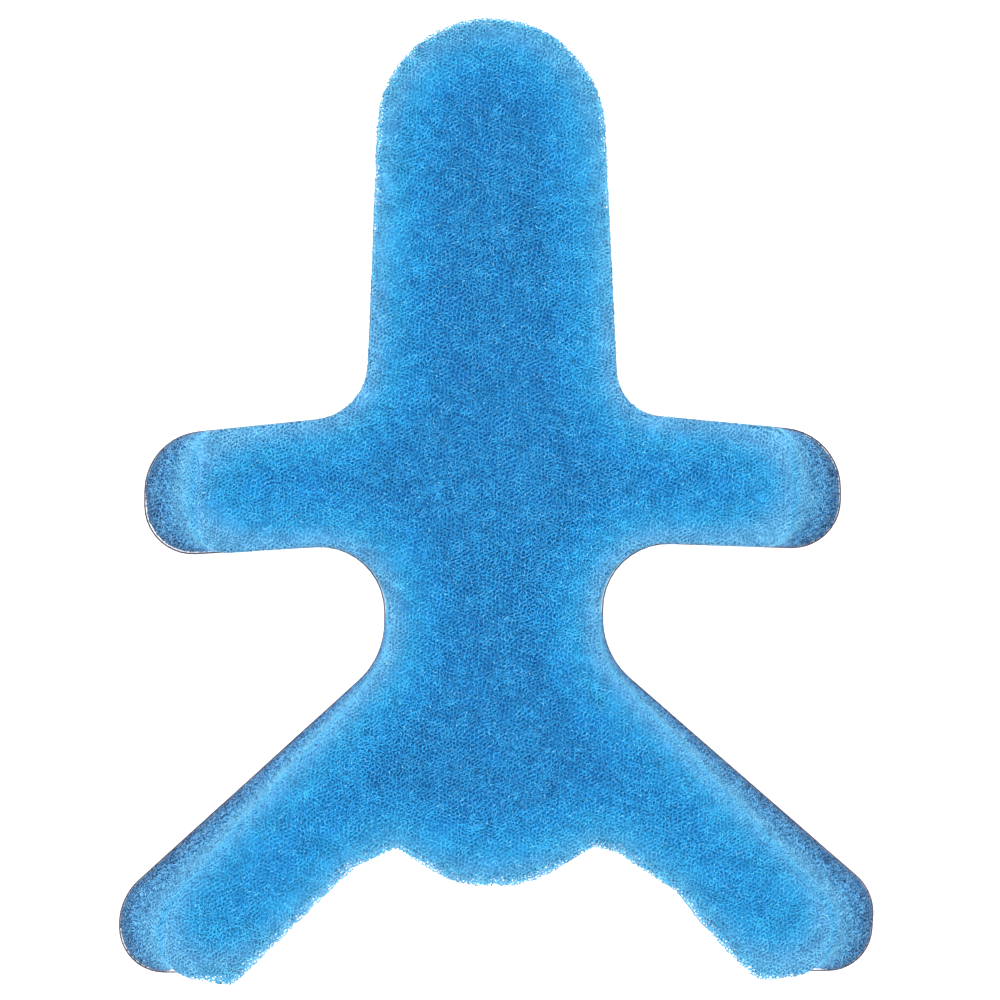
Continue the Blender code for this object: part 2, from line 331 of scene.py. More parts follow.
TURN = np.array(Matrix.Rotation(0.61, 3, "X") @ Matrix.Rotation(0.43, 3, "Y")
                @ Matrix.Rotation(0.35, 3, "Z"))
MIDDLE = np.array([0.0, 0.0, (Z0 + Z1) / 2])

rng = np.random.default_rng(71)
WAVES = []              # columns: wave vector, phases, amplitudes
for count, shortest, longest, size in ((14, 5.0, 12.0, 0.110), (16, 2.0, 4.0, 0.034)):
    for _ in range(count):
        vector = rng.normal(size=3)
        vector *= 2 * math.pi / rng.uniform(shortest, longest) / np.linalg.norm(vector)
        WAVES.append((vector, rng.uniform(0, 2 * math.pi, 3), rng.normal(size=3) * size))


def warp(p):
    """Smooth wander of the cells, so that they follow no grid."""
    out = p.copy()
    for vector, phases, amplitudes in WAVES:
        arg = p @ vector
        for axis in range(3):
            out[:, axis] += amplitudes[axis] * np.sin(arg + phases[axis])
    return out


def shell_limits(x, y, z):
    """How far in the solid body starts: deeper behind the lips, less at a wall's foot."""
    u = np.clip(sample(under_field, x, y), 0, 1)
    foot = 1 - 0.55 * np.clip(1 - (z - Z0) / 2.5, 0, 1)
    return SHELL_SIDE * foot + (SHELL_UNDERCUT - SHELL_SIDE) * u


def lattice_edges():
    """Starts and steps of one cube's struts, in quarters of the cube's edge."""
    verts = []
    for axis in range(3):
        for q in (1, 3):
            for others in ((0, 2), (2, 0)):
                v = list(others)
                v.insert(axis, q)
                verts.append(tuple(v))
    have = set(verts)
    starts, steps = [], []
    for v in verts:
        for i, j in ((0, 1), (0, 2), (1, 2)):
            for si in (-1, 1):
                for sj in (-1, 1):
                    d = [0, 0, 0]
                    d[i], d[j] = si, sj
                    end = tuple((v[k] + d[k]) % 4 for k in range(3))
                    if end in have and tuple(d) > (0, 0, 0):
                        starts.append(v)
                        steps.append(d)
    return np.array(starts), np.array(steps)


def hashed(n, seed):
    """A number from 0 to 1 for each integer triple."""
    h = (n[:, 0].astype(np.int64) * 73856093) ^ (n[:, 1].astype(np.int64) * 19349663) \
        ^ (n[:, 2].astype(np.int64) * 83492791) ^ (seed * 2654435761)
    h = h & 0xFFFFFFFF
    for _ in range(2):
        h = ((h ^ (h >> 16)) * 73244475) & 0xFFFFFFFF
    h = h ^ (h >> 16)
    return h.astype(float) / 4294967295.0


def place(n, cell):
    """Position of a lattice point given by its quarter-cell integers."""
    p = warp((n * (cell / 4.0)) @ TURN.T + MIDDLE)
    stray = np.stack([hashed(n, seed) for seed in (11, 23, 37)], 1) - 0.5
    return p + stray * (cell * JITTER)


def zone_cells(zone):
    """Integer places of the lattice cubes in or near a zone's strut layer."""
    cell = CELL[zone]
    reach = int(math.ceil(LATTICE_REACH / cell)) + 1
    r = np.arange(-reach, reach + 1)
    jj, kk = np.meshgrid(r, r, indexing="ij")
    keep = []
    for i in r:
        n = np.stack([np.full(jj.size, i), jj.ravel(), kk.ravel()], 1)
        c = ((n + 0.5) * cell) @ TURN.T + MIDDLE
        near = ((c[:, 2] > Z0 - SLACK) & (c[:, 2] < Z1 + SLACK)
                & (np.abs(c[:, 0]) < HALF_X) & (np.abs(c[:, 1]) < HALF_Y))
        n, c = n[near], c[near]
        if not len(n):
            continue
        d, side, top, bottom = depth(c)
        x, y, z = c.T
        if zone == "top":
            ok = top < SHELL_TOP + SLACK
        elif zone == "lip":
            ok = (sample(lipped, x, y) > 0.02) & (top < LIP_DEEP + SLACK)
        elif zone == "slope":
            ok = (sample(slanted, x, y) > 0.02) & (side < SHELL_SIDE + SLACK)
        elif zone == "under":
            ok = bottom < SHELL_UNDER + SLACK
        else:
            ok = side < shell_limits(x, y, z) + SLACK
        keep.append(n[ok & (d > OUTSIDE)])
    return np.concatenate(keep)


def in_zone(zone, x, y, z, side, top, bottom):
    """Whether a strut with its middle here belongs to the zone; zones do not overlap."""
    in_side = side < shell_limits(x, y, z)
    in_lip = (sample(lipped, x, y) > 0.5) & (top < LIP_DEEP) & ((top < SHELL_TOP) | in_side)
    in_top = (top < SHELL_TOP) & ~in_lip
    in_under = bottom < SHELL_UNDER
    in_slope = (sample(slanted, x, y) > 0.5) & in_side & ~in_top
    rest = ~in_lip & ~in_top & ~in_slope
    return {"top": in_top, "lip": in_lip, "slope": in_slope & ~in_lip,
            "under": in_under & rest, "side": in_side & ~in_under & rest}[zone]


def zone_struts(zone):
    """A zone's struts: lattice points and places of both ends, and which ends are cut."""
    cell = CELL[zone]
    base, steps = lattice_edges()
    cells = zone_cells(zone)
    a = (cells[:, None, :] * 4 + base[None]).reshape(-1, 3)
    b = a + np.tile(steps, (len(cells), 1))
    pa, pb = place(a, cell), place(b, cell)
    da, db = depth(pa)[0], depth(pb)[0]
    middle = (pa + pb) / 2
    x, y, z = middle.T
    d, *distances = depth(middle)
    ok = ((da > 0) | (db > 0)) & in_zone(zone, x, y, z, *distances) & (d > -0.3)
    # torn ends: along the lips a good part of the struts that reach the cut are missing
    torn = hashed(a + b, 3) < TORN * sample(under_field, x, y)
    ok &= ~(torn & ((da < 0) | (db < 0)))
    a, b, pa, pb, da, db = (column[ok] for column in (a, b, pa, pb, da, db))
    # struts that cross the cut face end on it
    ta = np.where(da < 0, da / (da - db + 1e-12), 0.0)[:, None]
    tb = np.where(db < 0, db / (db - da + 1e-12), 0.0)[:, None]
    start = pa + (pb - pa) * np.clip(ta, 0, 0.98)
    end = pb + (pa - pb) * np.clip(tb, 0, 0.98)
    ok = np.linalg.norm(end - start, axis=1) > SHORTEST
    return [column[ok] for column in (a, b, start, end, da < 0, db < 0)]


# ---- Where the pad bends: each limb's pieces start just before its hinge axis ----
joints = {j["name"]: j for j in frame["joints"]}


def leg_direction(joint):
    axis = np.array(joints[joint]["axis"])
    return -axis[1], axis[0]


# limb: parent, joint, direction outwards, length over which the bend blends in
LIMBS = {
    "head": ("chest", "neck_bend", (0.0, 1.0), 22.0),
    "hips": ("chest", "waist_bend", (0.0, -1.0), 16.0),
    "arm_left": ("chest", "arm_left_bend", (-1.0, 0.0), 16.0),
    "arm_right": ("chest", "arm_right_bend", (1.0, 0.0), 16.0),
    "leg_left": ("hips", "leg_left_bend", leg_direction("leg_left_bend"), 18.0),
    "leg_right": ("hips", "leg_right_bend", leg_direction("leg_right_bend"), 18.0),
}
BEFORE = 1.0            # how far before its axis a limb's piece starts
ARMS_ABOVE = -25        # y above which a place may belong to an arm
# segment: the cuts that part it from the body, +1 keeping the limb's side and -1 the other
CUTS = {
    "chest": (("hips", -1), ("head", -1), ("arm_left", -1), ("arm_right", -1)),
    "head": (("head", 1),),
    "hips": (("hips", 1), ("leg_left", -1), ("leg_right", -1)),
    "arm_left": (("hips", -1), ("arm_left", 1)),
    "arm_right": (("hips", -1), ("arm_right", 1)),
    "leg_left": (("hips", 1), ("leg_left", 1)),
    "leg_right": (("hips", 1), ("leg_right", 1)),
}


def hinge(limb):
    """Plan position of a limb's hinge, and the unit direction outwards."""
    _parent, joint, out, _reach = LIMBS[limb]
    return (np.array(joints[joint]["pos_m"]) / MM)[:2], np.array(out) / np.hypot(*out)


def beyond(limb, x, y):
    """Whether a place lies past the start of the limb's own piece."""
    pos, out = hinge(limb)
    return (x - pos[0]) * out[0] + (y - pos[1]) * out[1] + BEFORE > 0


def segment_of(x, y):
    segment = np.full(len(x), "chest", dtype=object)
    segment[beyond("head", x, y)] = "head"
    for arm in ("arm_left", "arm_right"):
        segment[beyond(arm, x, y) & (y > ARMS_ABOVE)] = arm
    hips = beyond("hips", x, y)
    segment[hips] = "hips"
    for leg in ("leg_left", "leg_right"):
        segment[hips & beyond(leg, x, y)] = leg
    return segment


def follow(obj, segment):
    """Rides on the chest; a limb's piece only has its transform baked into its mesh."""
    if segment == "chest":
        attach(obj, "chest")
        return
    parent, joint, _out, reach = LIMBS[segment]
    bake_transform(obj)


# ---- Materials ----
class Look:
    """A new material, with short ways to add shader nodes."""

    def __init__(self, name):
        self.material = bpy.data.materials.new(name)
        self.material.use_nodes = True
        self.tree = self.material.node_tree
        self.surface = self.tree.nodes["Principled BSDF"]

    def fill(self, node, inputs):
        """Sets inputs to numbers or (r, g, b) colours, or links other nodes' outputs."""
        for name, value in inputs.items():
            socket = node.inputs[name]
            if isinstance(value, (int, float)):
                socket.default_value = value
            elif isinstance(value, tuple):
                socket.default_value = (*value, 1.0)
            else:
                self.tree.links.new(value, socket)

    def node(self, kind, inputs, **properties):
        made = self.tree.nodes.new(kind)
        for name, value in properties.items():
            setattr(made, name, value)
        self.fill(made, inputs)
        return made.outputs

    def coords(self):
        return self.node("ShaderNodeTexCoord", {})["Object"]

    def noise(self, coords, **inputs):
        return self.node("ShaderNodeTexNoise", {"Vector": coords, **inputs})["Fac"]

    def attribute(self, name):
        return self.node("ShaderNodeAttribute", {}, attribute_name=name)["Fac"]

    def maths(self, operation, a, b):
        return self.node("ShaderNodeMath", {0: a, 1: b}, operation=operation)[0]

    def mix(self, share, a, b, blend="MIX"):
        # inputs 6 and 7 and output 2 are the node's colour sockets
        return self.node("ShaderNodeMix", {0: share, 6: a, 7: b},
                         data_type="RGBA", blend_type=blend)[2]

    def times(self, a, b):
        return self.mix(1.0, a, b, "MULTIPLY")

    def ramp(self, source, stops):
        """Colour ramp; a stop is a position and a colour, or a number for a grey."""
        made = self.tree.nodes.new("ShaderNodeValToRGB")
        elements = made.color_ramp.elements
        while len(elements) < len(stops):
            elements.new(0.5)
        for element, (position, colour) in zip(elements, stops):
            element.position = position
            element.color = (*(colour if isinstance(colour, tuple) else (colour,) * 3), 1.0)
        self.fill(made, {"Fac": source})
        return made.outputs["Color"]


# foam colour by "edge", from just outside the rim to deep inside; the blue is the foam's own,
# its paling towards the rim is painted light through the thin foam, its darkening inside painted
# shade
TOP_COLOURS = [
    (0.17, (0.140, 0.480, 0.760)), (0.35, (0.118, 0.455, 0.760)),
    (0.49, (0.068, 0.435, 0.765)), (0.61, (0.036, 0.415, 0.765)),
    (0.71, (0.031, 0.400, 0.750)), (0.80, (0.025, 0.378, 0.755)),
    (0.87, (0.022, 0.362, 0.738)), (0.93, (0.022, 0.352, 0.735)),
    (0.97, (0.019, 0.332, 0.700)), (1.00, (0.020, 0.306, 0.662)),
]
# foam colour by "wall", from the top of a slanted wall to its foot: greyer down the wall,
# darkening towards the foot as painted shade
WALL_COLOURS = [
    (0.00, (0.045, 0.400, 0.740)), (0.10, (0.066, 0.435, 0.744)),
    (0.25, (0.122, 0.460, 0.728)), (0.40, (0.116, 0.425, 0.690)),
    (0.55, (0.092, 0.400, 0.690)), (0.70, (0.088, 0.365, 0.675)),
    (0.85, (0.084, 0.290, 0.530)), (1.00, (0.065, 0.150, 0.270)),
]
ON_WALL = [(0.0, 0.0), (0.10, 1.0)]       # where the wall's colours take over
FOAM_ROUGHNESS = [(0.0, 0.55), (1.0, 0.36)]
# factors on the foam's colour
CLOUDS = [(0.28, (0.62, 0.72, 0.80)), (0.5, (1.0, 1.0, 1.0)), (0.72, (1.40, 1.28, 1.18))]
# painted shade: the body's pores darker, most deep in the pad and at the foot of a wall
PORE_SHADE_SHALLOW, PORE_SHADE_DEEP = (0.94, 0.96, 0.98), (0.30, 0.47, 0.63)
# painted shade: cell middles darker than their edges, like shaded hollows
CELL_NET_SHADE = [(0.0, (1.5, 1.4, 1.3)), (0.16, (1.0, 1.0, 1.0)), (0.5, (0.55, 0.62, 0.7))]
PLAIN, LIP_TINT = (1.0, 1.0, 1.0), (0.82, 1.05, 1.03)
# factors by each strut's own number: anywhere, and in the shade of a wall's cells
OWN_TONES = [(0.0, (0.50, 0.66, 0.77)), (0.30, (0.87, 0.93, 0.96)),
             (0.70, (1.05, 1.06, 1.04)), (1.0, (1.45, 1.28, 1.14))]
WALL_TONES = [(0.0, (0.07, 0.10, 0.17)), (0.32, (0.34, 0.43, 0.56)),
              (0.52, (1.0, 1.0, 1.0)), (1.0, (1.40, 1.32, 1.25))]
# painted glints: a few struts turned pale as painted highlights; and struts darkened along the
# very edge of the top face
PAINTED_GLINTS, PAINTED_GLINT_SHARE, PAINTED_GLINT_COLOUR = [(0.93, 0.0), (0.98, 1.0)], 0.35, (0.34, 0.68, 0.90)
RIM_DARK_STOPS, RIM_DARK_COLOUR = [(0.35, 0.75), (0.60, 0.12)], (0.060, 0.080, 0.150)


def body_tones(look, colour, coords, deep):
    """Painted shade in the pits, and a fine net of cells with a bump whose cell middles get
    painted shade, for the body behind the struts.
    """
    # painted shade in the pits, by the deep attribute
    colour = look.times(colour, look.mix(deep, PORE_SHADE_SHALLOW, PORE_SHADE_DEEP))
    cells = look.node("ShaderNodeTexVoronoi", {"Scale": 1150.0, "Vector": coords},
                      feature="DISTANCE_TO_EDGE")["Distance"]
    # painted shade in each cell's hollow middle
    net = look.ramp(cells, CELL_NET_SHADE)
    share = look.maths("ADD", look.maths("MULTIPLY", deep, 0.75), 0.25)
    colour = look.mix(share, colour, look.times(colour, net))
    bump = look.node("ShaderNodeBump", {"Strength": 0.7, "Distance": 0.0004, "Height": cells},
                     invert=True)
    look.fill(look.surface, {"Normal": bump["Normal"]})
    return colour


def strut_tones(look, colour, on_wall, deep, own):
    """Some struts darker, a few pale with painted glints."""
    share = look.maths("ADD", look.maths("MULTIPLY", deep, 0.7), 0.3)
    vary = look.mix(share, PLAIN, look.ramp(own, OWN_TONES))
    # down the walls a good part of the struts lie in the shade of their cells
    shade = look.ramp(own, WALL_TONES)
    vary = look.mix(look.maths("MULTIPLY", on_wall, deep), vary, shade)
    colour = look.times(colour, vary)
    # painted highlights: a few struts turned pale
    painted_glint = look.maths("MULTIPLY", look.ramp(own, PAINTED_GLINTS), PAINTED_GLINT_SHARE)
    colour = look.mix(painted_glint, colour, PAINTED_GLINT_COLOUR)
    # thin foam against the light is a clearer blue
    colour = look.times(colour, look.mix(look.attribute("lip"), PLAIN, LIP_TINT))
    # struts darkened into a dark line along the very edge of the top face
    rim_dark = look.maths("MULTIPLY", look.attribute("rim"), look.ramp(own, RIM_DARK_STOPS))
    return look.mix(rim_dark, colour, RIM_DARK_COLOUR)


def foam_material(name, is_body):
    """Blue foam: deep in the middle, paler towards its edges, greyer down the slanted walls; the
    paling is painted light, the darker middle, pores and wall feet painted shade.
    """
    look = Look(name)
    coords = look.coords()
    edge, wall, deep, own = map(look.attribute, ("edge", "wall", "deep", "own"))
    on_wall = look.ramp(wall, ON_WALL)
    colour = look.mix(on_wall, look.ramp(edge, TOP_COLOURS), look.ramp(wall, WALL_COLOURS))
    clouds = look.noise(coords, Scale=330.0, Detail=4.0, Roughness=0.75)
    colour = look.times(colour, look.ramp(clouds, CLOUDS))
    if is_body:
        colour = body_tones(look, colour, coords, deep)
    else:
        colour = strut_tones(look, colour, on_wall, deep, own)
    look.fill(look.surface, {"Base Color": colour, "Roughness": look.ramp(own, FOAM_ROUGHNESS),
                             "Specular IOR Level": 0.1 if is_body else 0.3})
    return look.material


def clear_material():
    look = Look("clear_sheet")
    noise = look.noise(look.coords(), Scale=60.0)
    colours = [(0.3, (0.90, 0.93, 0.95)), (0.7, (0.97, 0.98, 0.99))]
    look.fill(look.surface, {"Base Color": look.ramp(noise, colours),
                             "Roughness": look.ramp(noise, [(0.3, 0.04), (0.7, 0.12)]),
                             "Alpha": 0.16})
    return look.material


def shade_bead_material():
    look = Look("sheet_rim_painted_shade")
    noise = look.noise(look.coords(), Scale=120.0)
    # painted shade: the bead's dark colour stands in for the shade and refraction that darken a
    # clear sheet's cut edge
    colours = [(0.3, (0.045, 0.036, 0.060)), (0.7, (0.17, 0.13, 0.16))]
    look.fill(look.surface, {"Base Color": look.ramp(noise, colours),
                             "Roughness": 0.30, "Specular IOR Level": 0.25})
    return look.material


def floor_material():
    look = Look("floor")
    look.fill(look.surface, {"Emission Color": (1.0, 1.0, 1.0), "Emission Strength": 0.5,
                             "Base Color": (0.95, 0.95, 0.95), "Roughness": 0.9,
                             "Specular IOR Level": 0.0})
    return look.material


# ---- Fields that the foam materials read ----
def wall_field(x, y):
    """0 away from the slanted walls, rising to 1 at their foot."""
    top = sample(top_dist, x, y)
    width = np.maximum(sample(low_dist, x, y) - top, 0.0)   # how much wider the underside is
    return np.where((top < 0) & (width > 0.8),
                    np.clip(-top / np.maximum(width, 1.2), 0, 1), 0.0)


def edge_field(x, y):
    """0 just outside an edge, about 0.17 on it, and 1 deep in the middle."""
    return np.clip((sample(around, x, y) - 0.40) / 0.58, 0, 1)


def rim_field(x, y, z):
    """1 at the very edge of the top face, where the struts are darkened into a dark line."""
    s = sample(top_dist, x, y)
    outermost = np.clip(1.2 - (sample(low_dist, x, y) - s), 0, 1)
    return np.clip(1.5 - s / 0.35, 0, 1) * np.clip((z - Z1 + 2.6) / 0.8, 0, 1) * outermost


def pore_shade_field(x, y, wall):
    """How much painted shade the pores get: most in the middle of the pad, and at the foot of a
    wall.
    """
    inside = np.clip((sample(around, x, y) - 0.66) / 0.32, 0, 1)
    width = sample(low_dist, x, y) - sample(top_dist, x, y)
    down = np.clip((wall - 0.25) / 0.45, 0, 1) * np.clip(width / 3.0, 0.4, 1)
    return np.where(wall > 0, down, inside)


def put(mesh, name, values):
    at = mesh.attributes.new(name, "FLOAT", "POINT")
    at.data.foreach_set("value", np.asarray(values, np.float32))


def put_foam_fields(mesh, x, y, own):
    wall = wall_field(x, y)
    put(mesh, "own", own)
    put(mesh, "edge", edge_field(x, y))
    put(mesh, "wall", wall)
    put(mesh, "deep", pore_shade_field(x, y, wall))


# ---- Mesh helpers ----
def plan_uv(mesh, co, loops):
    """Texture coordinates straight down through the pad's plan; co is in metres."""
    span = max(cad_hi[0] - cad_lo[0], cad_hi[1] - cad_lo[1]) * 1.02
    uv = mesh.uv_layers.new(name="OFBake")
    flat = np.stack([(co[:, k] - cad_lo[k]) / span + 0.005 for k in (0, 1)], 1)
    uv.data.foreach_set("uv", flat[loops].astype(np.float32).ravel())


def vertex_places(mesh):
    co = np.empty(len(mesh.vertices) * 3, np.float32)
    mesh.vertices.foreach_get("co", co)
    return co.reshape(-1, 3).astype(float)


def smooth(mesh):
    mesh.polygons.foreach_set("use_smooth", np.ones(len(mesh.polygons), bool))


def mesh_from(bm, name):
    mesh = bpy.data.meshes.new(name)
    bm.to_mesh(mesh)
    bm.free()
    return mesh


def link(mesh, material):
    obj = bpy.data.objects.new(mesh.name, mesh)
    bpy.context.scene.collection.objects.link(obj)
    mesh.materials.append(material)
    return obj


# ---- Struts ----
MOST = 24000            # struts in one object
SUNK = 0.45             # how far a strut runs into its neighbours, in radii
# a prism's corners: 0 to 2 at the start, 3 to 5 at the end
PRISM_LOOPS = np.array([0, 1, 4, 3, 1, 2, 5, 4, 2, 0, 3, 5, 2, 1, 0, 3, 4, 5])
PRISM_FACE_STARTS = np.array([0, 4, 8, 12, 15])


def strut_mesh(name, start, end, radius, own, cut_start, cut_end):
    """One three-sided closed prism per strut, a little sunk into its neighbours."""
    n = len(start)
    along = end - start
    along = along / np.linalg.norm(along, axis=1)[:, None]
    slant = np.stack([np.sin(own * 40.0), np.cos(own * 57.0), np.sin(own * 91.0 + 1.0)], 1)
    u = np.cross(along, slant)
    u /= np.linalg.norm(u, axis=1)[:, None] + 1e-9
    v = np.cross(along, u)
    radius = radius[:, None]
    a = start - along * (np.where(cut_start, 0.0, SUNK)[:, None] * radius)
    b = end + along * (np.where(cut_end, 0.0, SUNK)[:, None] * radius)
    co = np.empty((n, 6, 3))
    for k in range(3):
        t = 2 * math.pi * k / 3
        off = (u * math.cos(t) + v * math.sin(t)) * radius
        co[:, k] = a + off
        co[:, 3 + k] = b + off
    co = (co.reshape(-1, 3) * MM).astype(np.float32)
    each = np.arange(n)[:, None]
    loops = (each * 6 + PRISM_LOOPS[None]).ravel().astype(np.int32)
    face_starts = (each * 18 + PRISM_FACE_STARTS[None]).ravel().astype(np.int32)
    mesh = bpy.data.meshes.new(name)
    mesh.vertices.add(n * 6)
    mesh.loops.add(n * 18)
    mesh.polygons.add(n * 5)
    mesh.vertices.foreach_set("co", co.ravel())
    mesh.loops.foreach_set("vertex_index", loops)
    mesh.polygons.foreach_set("loop_start", face_starts)
    mesh.update(calc_edges=True)
    smooth(mesh)
    x, y, z = (co.astype(float) / MM).T
    put_foam_fields(mesh, x, y, np.repeat(own, 6))
    put(mesh, "lip", sample(lipped, x, y))
    put(mesh, "rim", rim_field(x, y, z))
    plan_uv(mesh, co, loops)
    return mesh


def strut_objects(material):
    """The strut objects of each segment, parted by zone and then along y."""
    layers = [zone_struts(zone) for zone in ZONES]
    a, b, start, end, cut_start, cut_end = (np.concatenate(c) for c in zip(*layers))
    zone = np.repeat(np.arange(len(ZONES)), [len(layer[0]) for layer in layers])
    middle = (start + end) / 2
    own = hashed(a * 5 + b, 71)
    radius = STRUT_R * (0.78 + 0.44 * hashed(a + b * 3, 5))
    radius *= np.array([(CELL[z] / CELL["top"]) ** 0.8 for z in ZONES])[zone]
    radius *= np.where(zone == ZONES.index("lip"), 0.92, 1.0)
    columns = (start, end, radius, own, cut_start, cut_end)
    segment = segment_of(middle[:, 0], middle[:, 1])
    made = {name: [] for name in CUTS}
    for name, objects in made.items():
        for z, zone_name in enumerate(ZONES):
            at = np.flatnonzero((segment == name) & (zone == z))
            if not len(at):
                continue
            parts = int(math.ceil(len(at) / MOST))
            order = at[np.argsort(middle[at, 1], kind="stable")]
            for k, chunk in enumerate(np.array_split(order, parts)):
                label = f"{name}_struts_{zone_name}" + (f"_{k + 1}" if parts > 1 else "")
                mesh = strut_mesh(label, *(column[chunk] for column in columns))
                objects.append(link(mesh, material))
    return made


# ---- The body behind the struts ----
CORE_VOXEL = 0.9
# ring in the foot of the walls: inset, height above the underside, whether on the outside
FOOT_RING = ((0.16, 0.12, True), (0.16, 1.3, True), (1.3, 1.3, False), (1.3, 0.12, False))


def bridge(bm, first, second):
    """Faces between two closed rows of vertices."""
    n = len(first)
    for i in range(n):
        j = (i + 1) % n
        bm.faces.new((first[i], first[j], second[j], second[i]))


def core_block():
    """The closed block inside the strut shell, before it is remeshed."""
    extra = SHELL_UNDERCUT - SHELL_SIDE
    low_in = low_line + inward(low_line) * (0.45 * SHELL_SIDE - 0.08 + extra * 0.35 * low_lip)
    top_in = top_line + inward(top_line) * (SHELL_SIDE - 0.12 + extra * top_lip)
    z_low, z_top = Z0 + SHELL_UNDER - 0.1, Z1 - SHELL_TOP + 0.12
    bm = bmesh.new()
    low, top = ([bm.verts.new((p[0] * MM, p[1] * MM, z * MM)) for p in line]
                for line, z in ((low_in, z_low), (top_in, z_top)))
    bridge(bm, low, top)
    bm.faces.new(low[::-1])
    bm.faces.new(top)
    bmesh.ops.recalc_face_normals(bm, faces=bm.faces)
    bmesh.ops.triangulate(bm, faces=bm.faces)
    return mesh_from(bm, "core")


def remeshed(mesh):
    obj = bpy.data.objects.new("core", mesh)
    bpy.context.scene.collection.objects.link(obj)
    remesh = obj.modifiers.new("even", "REMESH")
    remesh.mode = "VOXEL"
    remesh.voxel_size = CORE_VOXEL * MM
    deps = bpy.context.evaluated_depsgraph_get()
    deps.update()
    even = bpy.data.meshes.new_from_object(obj.evaluated_get(deps))
    bpy.data.objects.remove(obj, do_unlink=True)
    return even


def core_mesh():
    """The evenly meshed body, drawn in until the whole strut layer stands before it."""
    core = remeshed(core_block())
    p = vertex_places(core) / MM
    h = 0.6             # half the span over which the wall's direction is measured
    for _ in range(5):
        x, y, z = p.T
        slope_x = side_depth(x + h, y, z) - side_depth(x - h, y, z)
        slope_y = side_depth(x, y + h, z) - side_depth(x, y - h, z)
        g = np.stack([slope_x, slope_y], 1)
        g /= np.hypot(slope_x, slope_y)[:, None] + 0.05
        side, limit = side_depth(x, y, z), shell_limits(x, y, z) - 0.05
        # the sharp foot of a slanted wall, which the remesh rounds off, goes back out
        foot = ((z < Z0 + 2.0) & (sample(under_field, x, y) < 0.1)
                & (sample(low_dist, x, y) - sample(top_dist, x, y) > 1.5))
        out = np.where(foot, np.clip(side - limit, 0, 0.5) * np.clip((2.0 - side) / 1.2, 0, 1), 0)
        p[:, :2] += g * (np.clip(limit - side, 0, 1.5) - 0.7 * out)[:, None]
        p[:, 2] = np.minimum(p[:, 2], Z1 - crown(p[:, 0], p[:, 1]) - SHELL_TOP + 0.1)
    core.vertices.foreach_set("co", (p * MM).astype(np.float32).ravel())
    core.update()
    add_foot(core)
    return core


def add_foot(mesh):
    """A slim closed ring in the sharp foot of the walls, which the even mesh rounds off."""
    rings = []
    fair = np.ones(len(low_line), bool)
    normal = inward(low_line)
    # under an upright wall it keeps well behind the struts
    upright = np.clip(1 + sample(top_dist, low_line[:, 0], low_line[:, 1]) / 1.5, 0, 1)
    for inset, height, outside in FOOT_RING:
        z = np.full(len(low_line), Z0 + height)
        if outside:
            inset = inset + 0.75 * upright
            q = low_line + normal * inset[:, None]
            q = q + normal * (inset - side_depth(q[:, 0], q[:, 1], z))[:, None]
            # a point that this throws outwards is left out
            fair &= side_depth(q[:, 0], q[:, 1], z) > inset - 0.4
        else:
            q = low_line + normal * inset
        rings.append(np.concatenate([q, z[:, None]], 1))
    bm = bmesh.new()
    bm.from_mesh(mesh)
    rows = [[bm.verts.new(tuple(v * MM)) for v in ring[fair]] for ring in rings]
    n = len(rows[0])
    faces = []
    for i in range(n):
        j = (i + 1) % n
        for k in range(4):
            row, other = rows[k], rows[(k + 1) % 4]
            faces.append(bm.faces.new((row[i], row[j], other[j], other[i])))
    bmesh.ops.recalc_face_normals(bm, faces=faces)
    bm.to_mesh(mesh)
    bm.free()


def cut(bm, limb, side):
    """Cuts where a limb's piece starts, keeps one side and closes the cut."""
    pos, out = hinge(limb)
    at = pos - out * BEFORE
    geom = list(bm.verts) + list(bm.edges) + list(bm.faces)
    bmesh.ops.bisect_plane(bm, geom=geom, dist=1e-6, plane_co=(at[0] * MM, at[1] * MM, 0),
                           plane_no=(side * out[0], side * out[1], 0),
                           clear_inner=True, clear_outer=False)
    edges = [e for e in bm.edges if e.is_boundary]
    if edges:
        bmesh.ops.holes_fill(bm, edges=edges, sides=0)


def body_mesh(core, segment):
    """One segment's share of the body."""
    bm = bmesh.new()
    bm.from_mesh(core)
    for limb, side in CUTS[segment]:
        cut(bm, limb, side)
    bmesh.ops.triangulate(bm, faces=[f for f in bm.faces if len(f.verts) > 4])
    mesh = mesh_from(bm, f"{segment}_foam_body")
    co = vertex_places(mesh)
    x, y, _z = (co / MM).T
    put_foam_fields(mesh, x, y, np.full(len(co), 0.5))
    loops = np.empty(len(mesh.loops), np.int32)
    mesh.loops.foreach_get("vertex_index", loops)
    plan_uv(mesh, co, loops)
    smooth(mesh)
    return mesh


def build_foam():
    strut_look = foam_material("foam_struts", is_body=False)
    body_look = foam_material("foam_body", is_body=True)
    made = strut_objects(strut_look)
    core = core_mesh()
    for segment, objects in made.items():
        objects.append(link(body_mesh(core, segment), body_look))
    for segment, objects in made.items():
        for obj in objects:
            follow(obj, segment)
            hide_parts("foam_" + segment)


# ---- Clear sheet: glossy, with a darker bead along its cut edge, its dark colour painted shade ----
BEAD_R, BEAD_SIDES = 0.16, 8
BEAD_DROP = 0.02        # bead's centre below the sheet's top


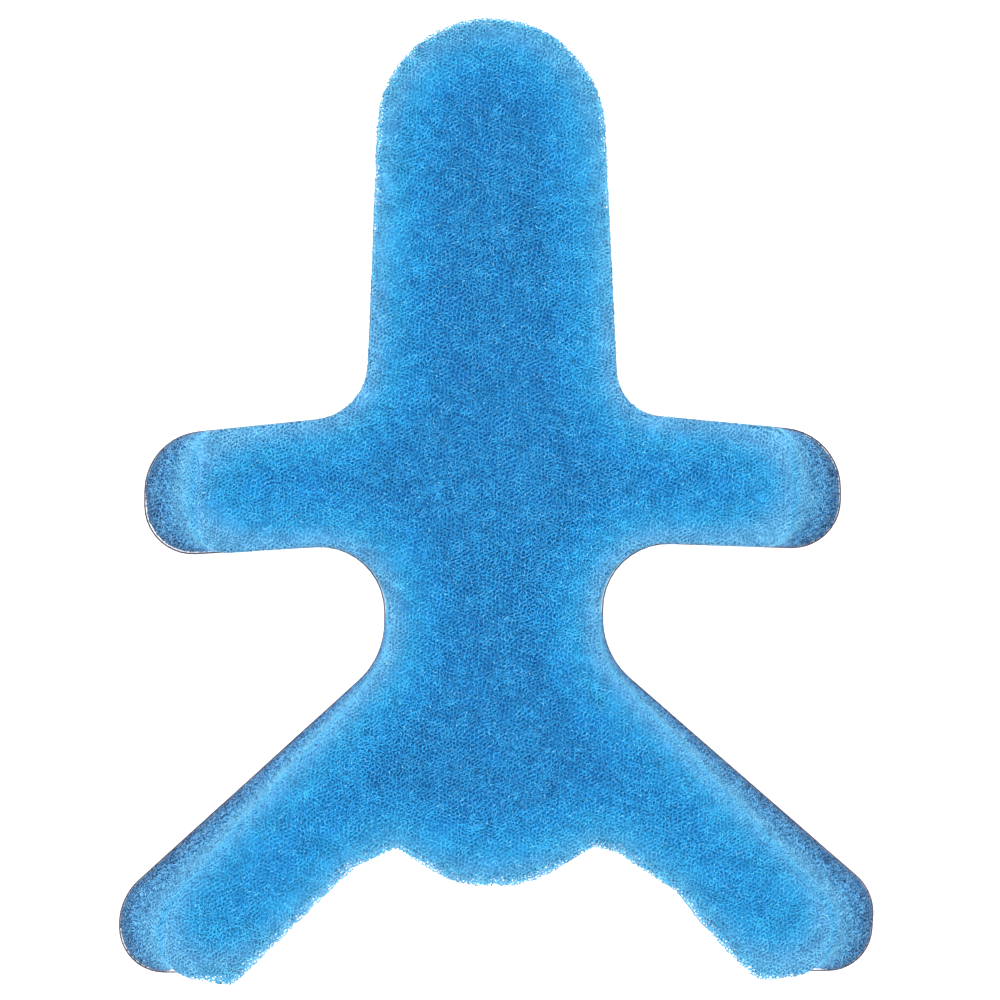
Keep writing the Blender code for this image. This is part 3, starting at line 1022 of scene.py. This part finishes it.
def rim_bead():
    """A slim rounded bead round the sheet's cut edge, finer below the lips."""
    radii = BEAD_R * (1 - 0.55 * np.clip(sheet_weights[:, 0] * 2, 0, 1))
    line = sheet_line + inward(sheet_line) * (radii * 0.9)[:, None]
    bm = bmesh.new()
    rings = []
    z = SHEET_TOP - BEAD_DROP
    for p, normal, r in zip(line, inward(line), radii):
        ring = []
        for k in range(BEAD_SIDES):
            t = 2 * math.pi * k / BEAD_SIDES
            q = p + normal * (math.cos(t) * r)
            ring.append(bm.verts.new((q[0] * MM, q[1] * MM, (z + math.sin(t) * r) * MM)))
        rings.append(ring)
    for i, ring in enumerate(rings):
        after = rings[(i + 1) % len(rings)]
        for k in range(BEAD_SIDES):
            m = (k + 1) % BEAD_SIDES
            bm.faces.new((ring[k], after[k], after[m], ring[m]))
    bmesh.ops.recalc_face_normals(bm, faces=bm.faces)
    mesh = mesh_from(bm, "sheet_rim_painted_shade")
    smooth(mesh)
    return mesh


def build_sheet():
    sheet = frame["nodes"]["clear_backing_sheet"]
    material = clear_material()
    sheet.data.materials.clear()
    sheet.data.materials.append(material)
    for slot in sheet.material_slots:
        slot.material = material
    rim = link(rim_bead(), shade_bead_material())
    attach(rim, "sheet")


# ---- Floor, light and camera (metres) ----
FLOOR_HALF, FLOOR_Z = 3.0, -0.0003
CAMERA_HEIGHT = 3.2     # above the foam's top face
VIEW = 0.190            # width seen at the foam's top face
CAMERA_X, CAMERA_Y = 0.00057, 0.00019
SENSOR = 36.0           # millimetres, as the lens


def build_floor():
    bm = bmesh.new()
    bmesh.ops.create_grid(bm, x_segments=1, y_segments=1, size=FLOOR_HALF)
    floor = link(mesh_from(bm, "floor"), floor_material())
    floor.location.z = FLOOR_Z


def build_light(scene):
    """An even white surround, and a soft sun."""
    world = bpy.data.worlds.new("studio")
    scene.world = world
    world.use_nodes = True
    background = world.node_tree.nodes["Background"]
    background.inputs["Color"].default_value = (1, 1, 1, 1)
    background.inputs["Strength"].default_value = 1.7
    sun = bpy.data.lights.new("key", "SUN")
    sun.energy = 1.0
    sun.angle = math.radians(40)
    key = bpy.data.objects.new("key", sun)
    scene.collection.objects.link(key)
    key.rotation_euler = (math.radians(-24), math.radians(-16), 0)


def build_camera(scene):
    """Looks straight down from far above."""
    camera = bpy.data.cameras.new("camera")
    camera.sensor_width = SENSOR
    camera.lens = SENSOR * CAMERA_HEIGHT / VIEW
    camera.clip_start, camera.clip_end = 0.1, 20.0
    obj = bpy.data.objects.new("camera", camera)
    scene.collection.objects.link(obj)
    obj.location = (CAMERA_X, CAMERA_Y, Z1 * MM + CAMERA_HEIGHT)
    scene.camera = obj


build_foam()
build_sheet()
build_floor()
scene = bpy.context.scene
build_light(scene)
scene.view_settings.view_transform = "Standard"
scene.view_settings.look = "None"
build_camera(scene)
